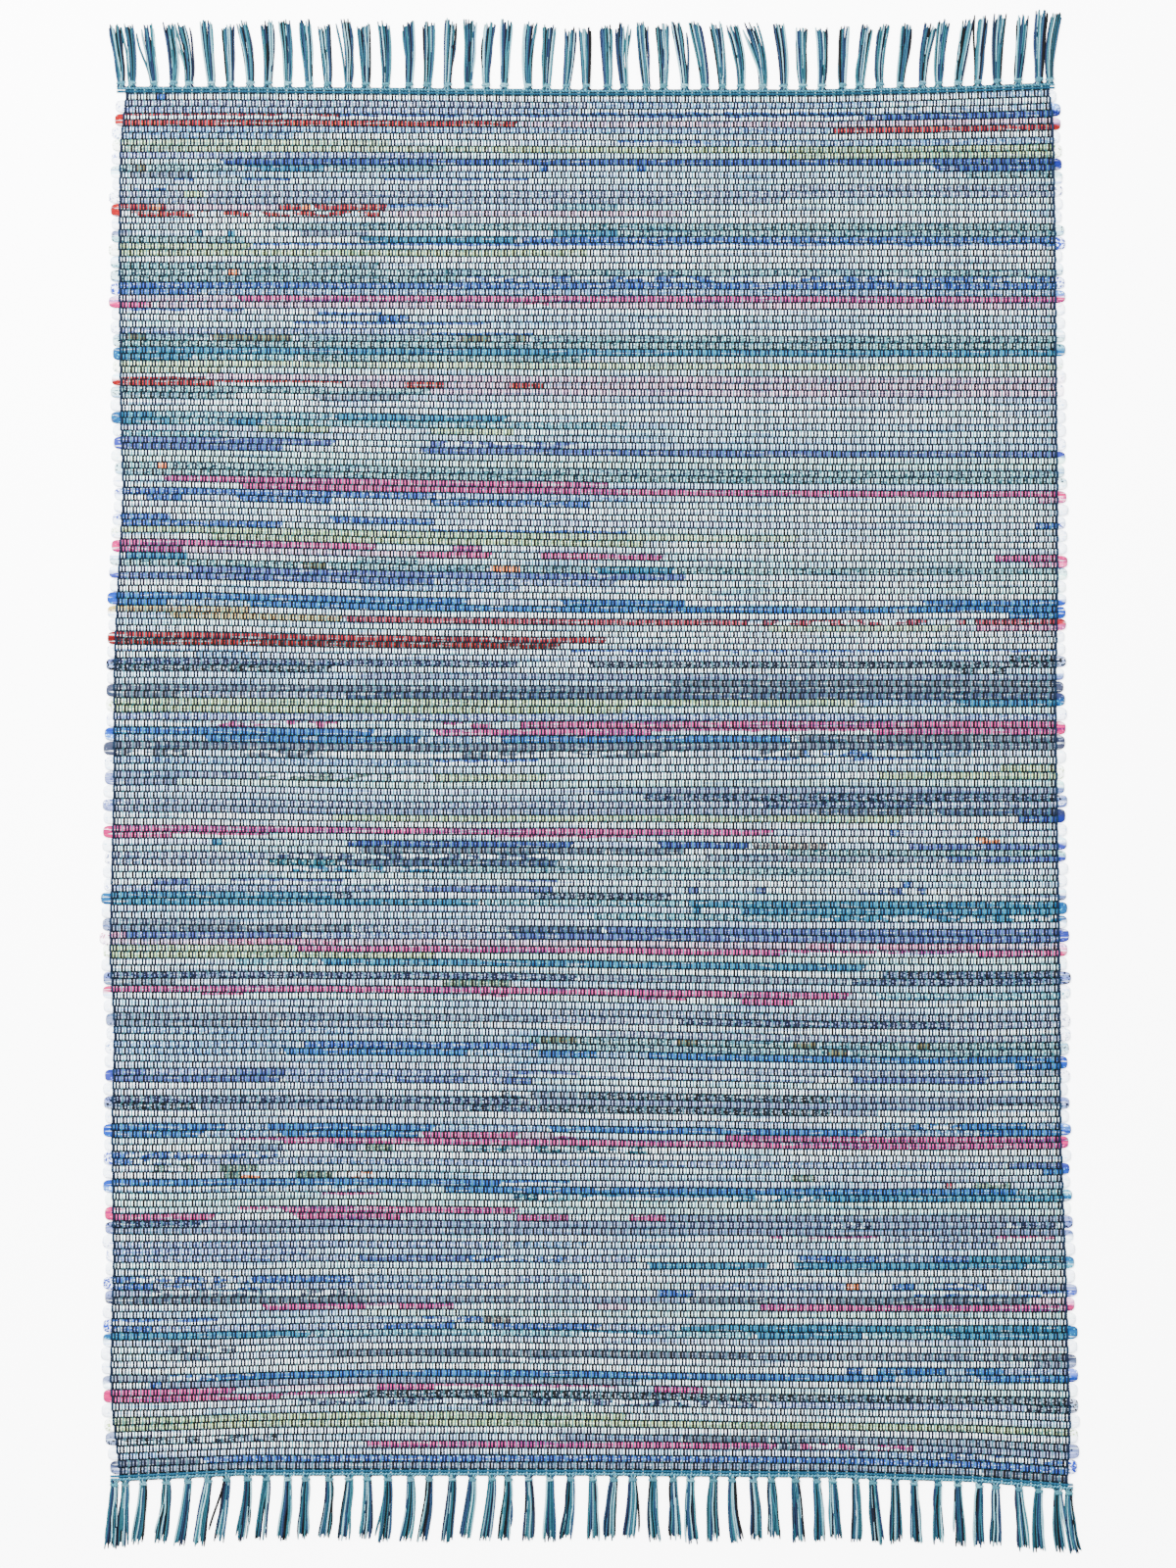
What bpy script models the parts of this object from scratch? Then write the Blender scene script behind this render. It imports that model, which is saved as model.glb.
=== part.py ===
"""Rag rug, 1.4 m by 2.0 m: a flat weave of doubled rag wefts with knotted yarn fringes.

Metres, +Z up. +Y is the end with the tighter wefts. The origin is on the cloth's
underside, on the flat crest of the middle weft.
"""

import random

import bmesh
import bpy

# Cloth
WEFTS = 205                 # rag wefts, numbered from the +Y end
MIDDLE_WEFT = 104           # the origin lies on its crest
THICKNESS = 0.0064          # crest to crest
TOP_VALLEY = 0.0050         # height of the groove between two wefts
UNDER_VALLEY = 0.0012       # the same groove from below
CREST_SHARE = 0.27          # half of the flat crest, as a share of the weft's height
CREST_VARIATION = 0.0005    # bulky and thin rags

# Height of the cloth's middle line at chosen wefts (crest centres)
WEFT_STATIONS = (
    # weft, y
    (0, 0.9821),
    (42, 0.5907),
    (66, 0.3716),
    (92, 0.1257),
    (104, 0.0),
    (133, -0.2770),
    (176, -0.7041),
    (204, -0.9883),
)

# Line of the outermost warp yarn on both sides
SELVEDGE_STATIONS = (
    # y, left x, right x
    (0.992, -0.6622, 0.6552),
    (0.953, -0.6675, 0.6617),
    (0.910, -0.6721, 0.6636),
    (0.770, -0.6738, 0.6657),
    (0.531, -0.6717, 0.6678),
    (0.418, -0.6679, 0.6693),
    (0.264, -0.6766, 0.6690),
    (0.151, -0.6812, 0.6664),
    (-0.003, -0.6814, 0.6678),
    (-0.249, -0.6873, 0.6721),
    (-0.352, -0.6805, 0.6728),
    (-0.495, -0.6840, 0.6735),
    (-0.692, -0.6819, 0.6805),
    (-0.854, -0.6861, 0.6847),
    (-0.912, -0.6826, 0.6875),
    (-0.990, -0.6725, 0.6833),
)

# Both ends of the cloth wander from a straight line
END_FADE = 13.75            # wefts from an end to where the cloth runs straight
END_STATIONS = (
    # share of the half width, shift of the +Y end, shift of the -Y end
    (-1.0, 0.0, 0.0),
    (-0.75, 0.0, 0.008),
    (0.0, -0.004, 0.008),
    (0.5, -0.004, 0.005),
    (0.8, 0.0005, -0.001),
    (1.0, 0.0055, -0.012),
)

# Turns of the rag outside the outermost warp. One long rag runs to and fro, so the
# turns on the right stand one weft higher than those on the left.
FIRST_TURN = (1, 0)         # upper weft of the first turn, left and right
LOOP_REACH = 0.0150
LOOP_VARIATION = 0.0025
LOOP_CREST = 0.0046         # height at the outer rim
LOOP_NOTCH = 0.0034         # height between two turns
LOOP_SHAPE = (
    # share of the reach at the stations of the two wefts that a turn joins
    ("notch", 0.35),
    ("shoulder", 0.88),
    ("round", 1.0),
    ("middle", 1.0),
    ("round", 1.0),
    ("shoulder", 0.88),
)

# Heading and fringe
GAP = 0.0003
HEADING_DEPTH = 0.0100
HEADING_INNER = 0.0044
HEADING_OUTER = 0.0038
TASSELS = 49                # at each end
CORNER_STEP = 0.0155        # the outermost tassel stands close to its neighbour
KNOT_JITTER = 0.0038
KNOT_ROOT = 0.0072          # width at the heading
KNOT_RINGS = (
    # distance from the heading, width, height
    (0.0024, 0.0112, 0.0074),
    (0.0060, 0.0104, 0.0070),
    (0.0090, 0.0064, 0.0046),
)
KNOT_ROOF = 0.72            # width of the top as a share of the foot
LOCK_SECTIONS = (
    # share of the length, width of the tassel, space between locks, height
    (0.45, 0.0104, 0.0010, 0.0044),
    (1.0, 0.0142, 0.0026, 0.0030),
)
LOCK_ROOF = 0.62
TIP_STEP = 0.0175           # least distance between the tips of neighbours
LEAN_JITTER = 0.0045
LENGTH_JITTER = 0.0035
BEND_JITTER = 0.0022

NORTH_TREND = (
    # share of the half width, sideways lean of the tips, length
    (-1.0, -0.012, 0.090),
    (-0.6, -0.004, 0.092),
    (-0.2, 0.005, 0.097),
    (0.0, 0.002, 0.088),
    (0.2, -0.008, 0.097),
    (0.38, -0.015, 0.092),
    (0.5, 0.0, 0.089),
    (0.7, 0.012, 0.092),
    (1.0, 0.008, 0.101),
)
SOUTH_TREND = (
    (-1.0, -0.010, 0.094),
    (-0.5, -0.008, 0.092),
    (0.0, -0.004, 0.090),
    (0.3, 0.003, 0.093),
    (0.5, 0.008, 0.089),
    (0.7, -0.001, 0.091),
    (1.0, 0.006, 0.091),
)


def between(table, key, column):
    """Value of a column of a station table at a key, by straight lines."""
    rows = sorted(table)
    if key <= rows[0][0]:
        return rows[0][column]
    for low, high in zip(rows, rows[1:]):
        if key <= high[0]:
            share = (key - low[0]) / (high[0] - low[0])
            return low[column] + share * (high[column] - low[column])
    return rows[-1][column]


def boundary(index):
    """Groove between weft index - 1 and weft index."""
    if index == 0:
        return between(WEFT_STATIONS, 0, 1) + 0.5 * pitch(0)
    if index == WEFTS:
        return between(WEFT_STATIONS, WEFTS - 1, 1) - 0.5 * pitch(WEFTS - 1)
    above = between(WEFT_STATIONS, index - 1, 1)
    below = between(WEFT_STATIONS, index, 1)
    return 0.5 * (above + below)


def pitch(index):
    """Distance between neighbouring wefts at a weft."""
    low = max(index - 1, 0)
    high = min(index + 1, WEFTS - 1)
    rise = between(WEFT_STATIONS, low, 1) - between(WEFT_STATIONS, high, 1)
    return rise / (high - low)


def end_shift(share, place):
    """Shift along y at a share of the half width, for a place counted in wefts."""
    from_north = place
    from_south = WEFTS - place
    if from_north < END_FADE:
        return between(END_STATIONS, share, 1) * (1 - from_north / END_FADE)
    if from_south < END_FADE:
        return between(END_STATIONS, share, 2) * (1 - from_south / END_FADE)
    return 0.0


def side_rim(index, first_turn, rng):
    """Reach and height of the rim at the three stations of a weft, for one side."""
    upper_weft = index == 0 or (index - first_turn) % 2 == 0
    reach = LOOP_REACH + rng.uniform(-1, 1) * LOOP_VARIATION
    rim = []
    for name, share in LOOP_SHAPE[:3] if upper_weft else LOOP_SHAPE[3:]:
        rim.append((share * reach, LOOP_NOTCH if name == "notch" else LOOP_CREST))
    return rim


def cloth_stations(rng):
    """One row per station along y: groove, crest edge, crest edge for each weft."""
    rows = []
    for index in range(WEFTS):
        rims = []
        for side, first_turn in enumerate(FIRST_TURN):
            turn = (index - first_turn) // 2
            rims.append(side_rim(index, first_turn, random.Random(10 * turn + side)))
        crest = THICKNESS + rng.uniform(-1, 1) * CREST_VARIATION
        if abs(index - MIDDLE_WEFT) < 2:
            crest = THICKNESS
        middle = between(WEFT_STATIONS, index, 1)
        half = CREST_SHARE * pitch(index)
        places = (
            (boundary(index), TOP_VALLEY, UNDER_VALLEY, index),
            (middle + half, crest, 0.0, index + 0.25),
            (middle - half, crest, 0.0, index + 0.75),
        )
        for k, (y, top, under, place) in enumerate(places):
            rows.append((y, top, under, rims[0][k], rims[1][k], place))
    end = (LOOP_SHAPE[0][1] * LOOP_REACH, LOOP_NOTCH)
    rows.append((boundary(WEFTS), TOP_VALLEY, UNDER_VALLEY, end, end, WEFTS))
    return rows


def row_points(station):
    """Points of the upper and the lower face across the cloth, left to right."""
    y, top, under, west_rim, east_rim, place = station
    left = between(SELVEDGE_STATIONS, y, 1)
    right = between(SELVEDGE_STATIONS, y, 2)
    shares = [-1.0, 1.0]
    if min(place, WEFTS - place) <= END_FADE:
        shares = [row[0] for row in END_STATIONS]
    inner = []
    for share in shares:
        x = left + 0.5 * (share + 1) * (right - left)
        inner.append((x, y + end_shift(share, place)))
    west = (left - west_rim[0], inner[0][1])
    east = (right + east_rim[0], inner[-1][1])
    upper = [(x, v, top) for x, v in inner]
    upper = [(*west, west_rim[1])] + upper + [(*east, east_rim[1])]
    if len(inner) == 2:
        inner = []
    lower = [(*west, under)] + [(x, v, under) for x, v in inner] + [(*east, under)]
    return upper, lower


def add_face(bm, points):
    bm.faces.new([bm.verts.new(p) for p in points])


def bridge(bm, row, following):
    """Strip of faces between two rows; rows of unlike count share one wide middle face."""
    if len(row) == len(following):
        for k in range(len(row) - 1):
            add_face(bm, [row[k], row[k + 1], following[k + 1], following[k]])
        return
    ends = 2 if min(len(row), len(following)) == 4 else 1
    for k in range(ends - 1):
        add_face(bm, [row[k], row[k + 1], following[k + 1], following[k]])
        add_face(bm, [row[-2 - k], row[-1 - k], following[-1 - k], following[-2 - k]])
    start = ends - 1
    near = row[start:len(row) - start]
    far = following[start:len(following) - start]
    add_face(bm, near + far[::-1])


def finish_mesh(bm, name, collection, material):
    """Weld the faces into one closed body and hand it over as an object."""
    bmesh.ops.remove_doubles(bm, verts=bm.verts, dist=1e-6)
    bmesh.ops.recalc_face_normals(bm, faces=bm.faces)
    mesh = bpy.data.meshes.new(name)
    bm.to_mesh(mesh)
    bm.free()
    mesh.materials.append(material)
    obj = bpy.data.objects.new(name, mesh)
    collection.objects.link(obj)
    return obj


def make_cloth(collection, material):
    """Ribbed sheet: every weft is a rib on both faces, with a turn between two of them."""
    rng = random.Random(11)
    bm = bmesh.new()
    rows = [row_points(station) for station in cloth_stations(rng)]
    for (upper, lower), (next_upper, next_lower) in zip(rows, rows[1:]):
        bridge(bm, upper, next_upper)
        bridge(bm, lower, next_lower)
        for side in (0, -1):
            add_face(bm, [upper[side], next_upper[side], next_lower[side], lower[side]])
    for upper, lower in (rows[0], rows[-1]):
        bridge(bm, upper, lower)
    return finish_mesh(bm, "rug_body", collection, material)


def end_line(x, north):
    """End of the cloth at x."""
    y = boundary(0 if north else WEFTS)
    left = between(SELVEDGE_STATIONS, y, 1)
    right = between(SELVEDGE_STATIONS, y, 2)
    share = 2 * (x - left) / (right - left) - 1
    return y + between(END_STATIONS, share, 1 if north else 2)


def tassel_plan(north, rng):
    """Rows of knot x, tip x, length and bend, left to right."""
    y = boundary(0 if north else WEFTS)
    left = between(SELVEDGE_STATIONS, y, 1) + 0.006
    right = between(SELVEDGE_STATIONS, y, 2) - 0.012
    regular = TASSELS - 2
    step = (right - left) / (regular - 1)
    knots = []
    for k in range(regular):
        shift = rng.uniform(-1, 1) * KNOT_JITTER
        if k in (0, regular - 1):
            shift = 0.0
        knots.append(left + k * step + shift)
    knots = [left - CORNER_STEP] + knots + [right + CORNER_STEP]
    trend = NORTH_TREND if north else SOUTH_TREND
    plan = []
    for x in knots:
        share = 2 * (x - left) / (right - left) - 1
        lean = between(trend, share, 1) + rng.uniform(-1, 1) * LEAN_JITTER
        length = between(trend, share, 2) + rng.uniform(-1, 1) * LENGTH_JITTER
        tip = x + lean
        if plan:
            tip = max(tip, plan[-1][1] + TIP_STEP)
        plan.append((x, tip, length, rng.uniform(-1, 1) * BEND_JITTER))
    return plan


def ring(x, y, width, height, roof):
    """Six points round a knot: foot left to right, then the top right to left."""
    foot = 0.5 * width
    top = roof * foot
    shoulder = height if roof == 1.0 else 0.88 * height
    return [
        (x - foot, y, 0.0),
        (x, y, 0.0),
        (x + foot, y, 0.0),
        (x + top, y, shoulder),
        (x, y, height),
        (x - top, y, shoulder),
    ]


def lock_section(x, y, width, height):
    """Four points of a lock: foot left to right, then the top right to left."""
    foot = 0.5 * width
    top = LOCK_ROOF * foot
    return [
        (x - foot, y, 0.0),
        (x + foot, y, 0.0),
        (x + top, y, height),
        (x - top, y, height),
    ]


def tube(bm, rings):
    """Side faces between rings of equal count."""
    for near, far in zip(rings, rings[1:]):
        count = len(near)
        for k in range(count):
            add_face(bm, [near[k], near[(k + 1) % count], far[(k + 1) % count], far[k]])


def add_tassel(bm, north, knot, tip, length, bend):
    """Knot on the heading's outer face, parted into two locks that lie on the floor."""
    out = 1 if north else -1
    base = end_line(knot, north) + out * (GAP + HEADING_DEPTH)
    rings = [heading_root(knot, north)]
    for distance, width, height in KNOT_RINGS:
        rings.append(ring(knot, base + out * distance, width, height, KNOT_ROOF))
    tube(bm, rings)
    neck = rings[-1]
    start = KNOT_RINGS[-1][0]
    necks = (
        [neck[0], neck[1], neck[4], neck[5]],
        [neck[1], neck[2], neck[3], neck[4]],
    )
    for side, first in zip((-1, 1), necks):
        sections = [first]
        for share, width, space, height in LOCK_SECTIONS:
            wide = 0.5 * (width - space)
            lean = (tip - knot) * share ** 1.5 + (bend if share < 1 else 0.0)
            x = knot + lean + side * 0.5 * (wide + space)
            y = base + out * (start + share * (length - start - HEADING_DEPTH))
            sections.append(lock_section(x, y, wide, height))
        tube(bm, sections)
        add_face(bm, sections[-1])


def heading_root(knot, north):
    """Six points on the heading's outer face where a knot starts."""
    out = 1 if north else -1
    half = 0.5 * KNOT_ROOT
    points = []
    for x, z in (
        (knot - half, 0.0),
        (knot, 0.0),
        (knot + half, 0.0),
        (knot + half, HEADING_OUTER),
        (knot, HEADING_OUTER),
        (knot - half, HEADING_OUTER),
    ):
        points.append((x, end_line(x, north) + out * (GAP + HEADING_DEPTH), z))
    return points


def heading_section(x, north):
    """Inner foot, inner top, outer top, outer foot of the heading at x."""
    out = 1 if north else -1
    y = end_line(x, north)
    return [
        (x, y + out * GAP, 0.0),
        (x, y + out * GAP, HEADING_INNER),
        (x, y + out * (GAP + HEADING_DEPTH), HEADING_OUTER),
        (x, y + out * (GAP + HEADING_DEPTH), 0.0),
    ]


def make_fringe(name, north, collection, material):
    """Heading strip along one end of the cloth with its row of knotted tassels."""
    rng = random.Random(23 if north else 37)
    plan = tassel_plan(north, rng)
    bm = bmesh.new()
    half = 0.5 * KNOT_ROOT
    places = [(plan[0][0] - half - 0.002, False)]
    for knot, *_ in plan:
        places += [(knot - half, True), (knot, True), (knot + half, False)]
    places.append((plan[-1][0] + half + 0.002, False))
    sections = [(heading_section(x, north), opened) for x, opened in places]
    for (near, opened), (far, _) in zip(sections, sections[1:]):
        for k in range(4):
            if k == 2 and opened:
                continue
            add_face(bm, [near[k], near[(k + 1) % 4], far[(k + 1) % 4], far[k]])
    add_face(bm, sections[0][0])
    add_face(bm, sections[-1][0])
    for knot, tip, length, bend in plan:
        add_tassel(bm, north, knot, tip, length, bend)
    return finish_mesh(bm, name, collection, material)


def make_material(name, colour, roughness):
    material = bpy.data.materials.new(name)
    material.use_nodes = True
    shader = material.node_tree.nodes["Principled BSDF"]
    shader.inputs["Base Color"].default_value = (*colour, 1.0)
    shader.inputs["Roughness"].default_value = roughness
    shader.inputs["Metallic"].default_value = 0.0
    return material


def main():
    for obj in list(bpy.data.objects):
        bpy.data.objects.remove(obj)
    collection = bpy.data.collections.new("rag_rug")
    bpy.context.scene.collection.children.link(collection)
    rags = make_material("rag_weave", (0.44, 0.55, 0.63), 0.92)
    north_yarn = make_material("north_yarn", (0.045, 0.20, 0.27), 0.88)
    south_yarn = make_material("south_yarn", (0.045, 0.20, 0.27), 0.88)
    make_cloth(collection, rags)
    make_fringe("fringe_north", True, collection, north_yarn)
    make_fringe("fringe_south", False, collection, south_yarn)


main()
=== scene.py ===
"""Looks of the woven rag rug: rags, warp yarns, headings, knots and tassels.

Metres, +Z up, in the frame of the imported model: +Y is the end with the tighter wefts,
z = 0 is the floor under the rug.
"""

import math
import random

import bpy
import numpy as np
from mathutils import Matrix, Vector

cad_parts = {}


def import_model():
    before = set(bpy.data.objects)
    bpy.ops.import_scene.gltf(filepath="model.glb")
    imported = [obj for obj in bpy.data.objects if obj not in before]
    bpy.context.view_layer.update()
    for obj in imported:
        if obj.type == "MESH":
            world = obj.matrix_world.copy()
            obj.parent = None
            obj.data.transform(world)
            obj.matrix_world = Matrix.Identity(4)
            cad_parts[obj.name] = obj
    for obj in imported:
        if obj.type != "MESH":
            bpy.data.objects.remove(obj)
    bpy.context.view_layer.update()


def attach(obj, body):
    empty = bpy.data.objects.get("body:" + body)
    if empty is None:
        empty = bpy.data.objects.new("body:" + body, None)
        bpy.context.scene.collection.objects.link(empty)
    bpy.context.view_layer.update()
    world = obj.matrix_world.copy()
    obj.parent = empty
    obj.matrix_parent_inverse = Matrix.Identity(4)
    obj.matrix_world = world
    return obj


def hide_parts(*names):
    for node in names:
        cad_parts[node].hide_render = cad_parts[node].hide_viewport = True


# Cloth, as in the solids
WEFTS = 205                 # rag wefts, numbered from the +Y end
THICKNESS = 0.0064          # crest to crest
FIRST_TURN = (1, 0)         # upper weft of the first turn, left and right
LOOP_REACH = 0.0150         # how far the turns of the rags stand out
LOOP_VARIATION = 0.0025
GAP = 0.0003                # between the cloth and a heading
HEADING_DEPTH = 0.0100
TASSELS = 49
KNOTS_FROM_LEFT = 0.006
KNOTS_FROM_RIGHT = 0.012
CORNER_STEP = 0.0155        # from the last regular knot to the one at the corner
KNOT_JITTER = 0.0038
TIP_STEP = 0.0175           # tips lie at least this far apart
LEAN_JITTER = 0.0045
LENGTH_JITTER = 0.0035
BEND_JITTER = 0.0022
END_FADE = 13.75            # wefts over which the shifts of an end fade out

WEFT_STATIONS = (
    # weft, y
    (0, 0.9821),
    (42, 0.5907),
    (66, 0.3716),
    (92, 0.1257),
    (104, 0.0),
    (133, -0.2770),
    (176, -0.7041),
    (204, -0.9883),
)

SELVEDGE_STATIONS = (
    # y, left x, right x
    (0.992, -0.6622, 0.6552),
    (0.953, -0.6675, 0.6617),
    (0.910, -0.6721, 0.6636),
    (0.770, -0.6738, 0.6657),
    (0.531, -0.6717, 0.6678),
    (0.418, -0.6679, 0.6693),
    (0.264, -0.6766, 0.6690),
    (0.151, -0.6812, 0.6664),
    (-0.003, -0.6814, 0.6678),
    (-0.249, -0.6873, 0.6721),
    (-0.352, -0.6805, 0.6728),
    (-0.495, -0.6840, 0.6735),
    (-0.692, -0.6819, 0.6805),
    (-0.854, -0.6861, 0.6847),
    (-0.912, -0.6826, 0.6875),
    (-0.990, -0.6725, 0.6833),
)

END_STATIONS = (
    # share of the half width, shift of the +Y end, shift of the -Y end
    (-1.0, 0.0, 0.0),
    (-0.75, 0.0, 0.008),
    (0.0, -0.004, 0.008),
    (0.5, -0.004, 0.005),
    (0.8, 0.0005, -0.001),
    (1.0, 0.0055, -0.012),
)

NORTH_TREND = (
    # share of the half width, sideways lean of the tips, length
    (-1.0, -0.012, 0.090),
    (-0.6, -0.004, 0.092),
    (-0.2, 0.005, 0.097),
    (0.0, 0.002, 0.088),
    (0.2, -0.008, 0.097),
    (0.38, -0.015, 0.092),
    (0.5, 0.0, 0.089),
    (0.7, 0.012, 0.092),
    (1.0, 0.008, 0.101),
)
SOUTH_TREND = (
    (-1.0, -0.010, 0.094),
    (-0.5, -0.008, 0.092),
    (0.0, -0.004, 0.090),
    (0.3, 0.003, 0.093),
    (0.5, 0.008, 0.089),
    (0.7, -0.001, 0.091),
    (1.0, 0.006, 0.091),
)

# Waves of rows that sag towards -Y, or rise where the depth is negative
SAG_WAVES = (
    # middle and reach along the rug, middle and reach across it as shares of the half
    # width, depth
    (0.39, 0.21, 0.8, 1.5, 0.0145),
    (0.25, 0.07, 0.0, 0.9, 0.004),
    (0.0, 0.08, -0.4, 0.5, 0.005),
    (-0.07, 0.06, 0.9, 1.1, 0.0065),
    (-0.37, 0.19, 0.75, 0.75, 0.0135),
    (-0.58, 0.12, -0.6, 0.25, -0.0025),
    (-0.86, 0.10, -0.4, 0.65, -0.009),
)
SAG_LEFT_REACH = 0.35       # the rows keep their places at the left edge
SAG_END_REACH = 0.99        # and at both headings
SAG_END_POWER = 24

# Rags
WEFT_NODES = 61             # places along a row where its height and edges are set
EDGE_WANDER = 0.00080
CREST_WANDER = 0.0004
ROW_OVERLAP = 0.00010       # rags press against each other
MID_HEIGHT = 0.0032
UNDER_HEIGHT = 0.0009
SLOPE_SHARE = 0.2           # part of the row's width that slopes down at each edge
SPLICE = 0.0340             # length over which one rag runs out beside the next
SECTION_POINTS = 6
SECTION_PLACES = (0.0, 0.25, 0.62, 0.80, 0.88, 0.94, 1.0)   # round a rag, in its baked slot
SECTION_ACROSS = (0.0, 0.2, 0.8, 1.0, 0.8, 0.2, 0.0)        # from the +Y edge to the other
MAP_FILL = 0.97             # share of a slot of the baked map that is used
MAP_MARGIN = 0.015
FIRST_CAP = ((3, 2, 1, 0), (0, 5, 4, 3))    # quads that close a tube at its first row
LAST_CAP = ((0, 1, 2, 3), (0, 3, 4, 5))
TINY = 1e-6

# Turns of the rags at both sides
TURN_STEPS = 10
TURN_DEEPEN = 1.4           # no warps darken the turns, their dye looks deeper
TURN_FULLNESS = 0.62        # below 1 the turn is fuller than an ellipse
TURN_BULGE = (0.9, 1.04)    # least and most share of the reach
TURN_WIDTH = 0.97           # share of the width of two rows
TURN_HOLE = (0.08, 0.04)    # inner edge, as shares of the reach and of half the width
TURN_FOLD = 0.0004
TURN_CREST = 0.0054
TURN_DIP = 0.0006           # the crest is lower where the turn is farthest out
TURN_OUTER_HEIGHT = 0.0026
TURN_INNER_HEIGHT = 0.0030
TURN_SECTION = (1.0, 0.80, 0.24, 0.0, 0.22, 0.80)   # shares of the way from the inner edge
TURN_ACROSS = (0.2, 0.35, 0.6, 0.75, 0.6, 0.35, 0.2)
TURN_BETWEEN_WARPS = 0.75   # halfway between two warps, out of the painted shade beside them
TURN_SLOTS = 103
TURN_COVER = 0.25           # strips reach farther down a turn by this
TURN_WHITE = (0.86, 0.88, 0.92, 1.0)    # mixed into pale turns
PALE_TURNS = (0.12, 0.2, 0.7)   # least channel, range above it, most white mixed in

# Warp yarns
WARPS = 585
YARN_LIFT = 0.00045
YARN_UNDER = 0.0003         # height of a warp where it runs under a rag
YARN_WANDER = 0.00028
WANDER_NODES = 9            # places along a warp between changes of its wander
WARP_END_PAST = 0.0005      # the warps end this far past the heading
WARP_END_HEIGHT = 0.0018
WARP_VARIATION = 0.12       # of the colour from yarn to yarn
WARP_REPEAT = (
    # name, colour, width; a place in the repeat alternates between the two sheds
    ("black", "#020204", 0.0034),
    ("teal", "#09323f", 0.0029),
    ("sea", "#0c3544", 0.0029),
    ("blue", "#0b1034", 0.0032),
    ("mint", "#456f75", 0.0018),
    ("pale_mint", "#4f7a7f", 0.0018),
)

# Kinds of rags: mark, main colour, flecks, amount of flecks, what the kind looks like
KIND_CHART = """
w #f2f7fb #cfdcea 0.25 white
lb #90aed2 #d4e2f0 0.45 light blue
lv #9da4c0 #dce0ec 0.45 lavender grey
lvb #9aa6d2 #dce2f2 0.45 light violet blue
db #46589c #7490ca 0.25 deep blue
rb #4270ba #bccbea 0.30 royal blue
vb #6a74b0 #a8aed6 0.25 violet blue
bb #2878b8 #48c4dc 0.22 bright blue with turquoise
tq #1c88a8 #6cc0cc 0.25 turquoise
lt #7cb4c0 #d4eaee 0.40 light turquoise
dt #2b7484 #bfe0df 0.30 dark teal
mg #c84c96 #e8a4ca 0.22 magenta
pm #d88cb0 #f0c8dc 0.35 light pink
pk #e0c0d4 #f4e4ee 0.35 pale pink
rd #ae1440 #e8842c 0.22 red with orange
cr #a60a28 #bc4460 0.20 crimson
rk #a00414 #060608 0.42 red with black patches
co #b04860 #e498a4 0.25 coral
yg #bccb9c #e4ecd8 0.40 yellow green
py #ccd8b4 #ecf2e0 0.35 pale yellow green
ch #767a8a #a4aaba 0.30 charcoal
dg #707688 #9ca4b4 0.30 dark grey
nb #606888 #98a4bc 0.25 navy black
bw #b0b8c8 #0c0e1a 0.64 black and white print
nw #a0a8c8 #182450 0.62 navy and white print
gp #a7aec0 #616a80 0.40 grey print
gl #a8aec8 #7880a0 0.40 grey lavender print
tp #b4d0d2 #0c565e 0.46 teal print
tt #8c8464 #2d7f80 0.35 teal print with tan
by #cfc698 #b08c50 0.45 beige and yellow print
ol #748674 #b8c4ac 0.40 olive
tn #8a8078 #d0c8bc 0.40 tan
or #ee9548 #f4c79c 0.30 orange
mt #e0f1ec #cfe6e2 0.35 mint white
"""
RAG_KINDS = {}
for kind_line in KIND_CHART.strip().splitlines():
    kind_mark, main_code, fleck_code, fleck_amount = kind_line.split()[:4]
    RAG_KINDS[kind_mark] = (main_code, fleck_code, float(fleck_amount))

DEEPEN = 1.62

WHITE_VARIATION = 0.12
WHITE_TINTS = (
    (0.93, 0.97, 0.99),
    (0.90, 0.97, 0.97),
    (0.56, 0.71, 0.88),
    (0.70, 0.88, 0.88),
    (0.62, 0.68, 0.86),
    (0.84, 0.92, 0.97),
)

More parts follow.
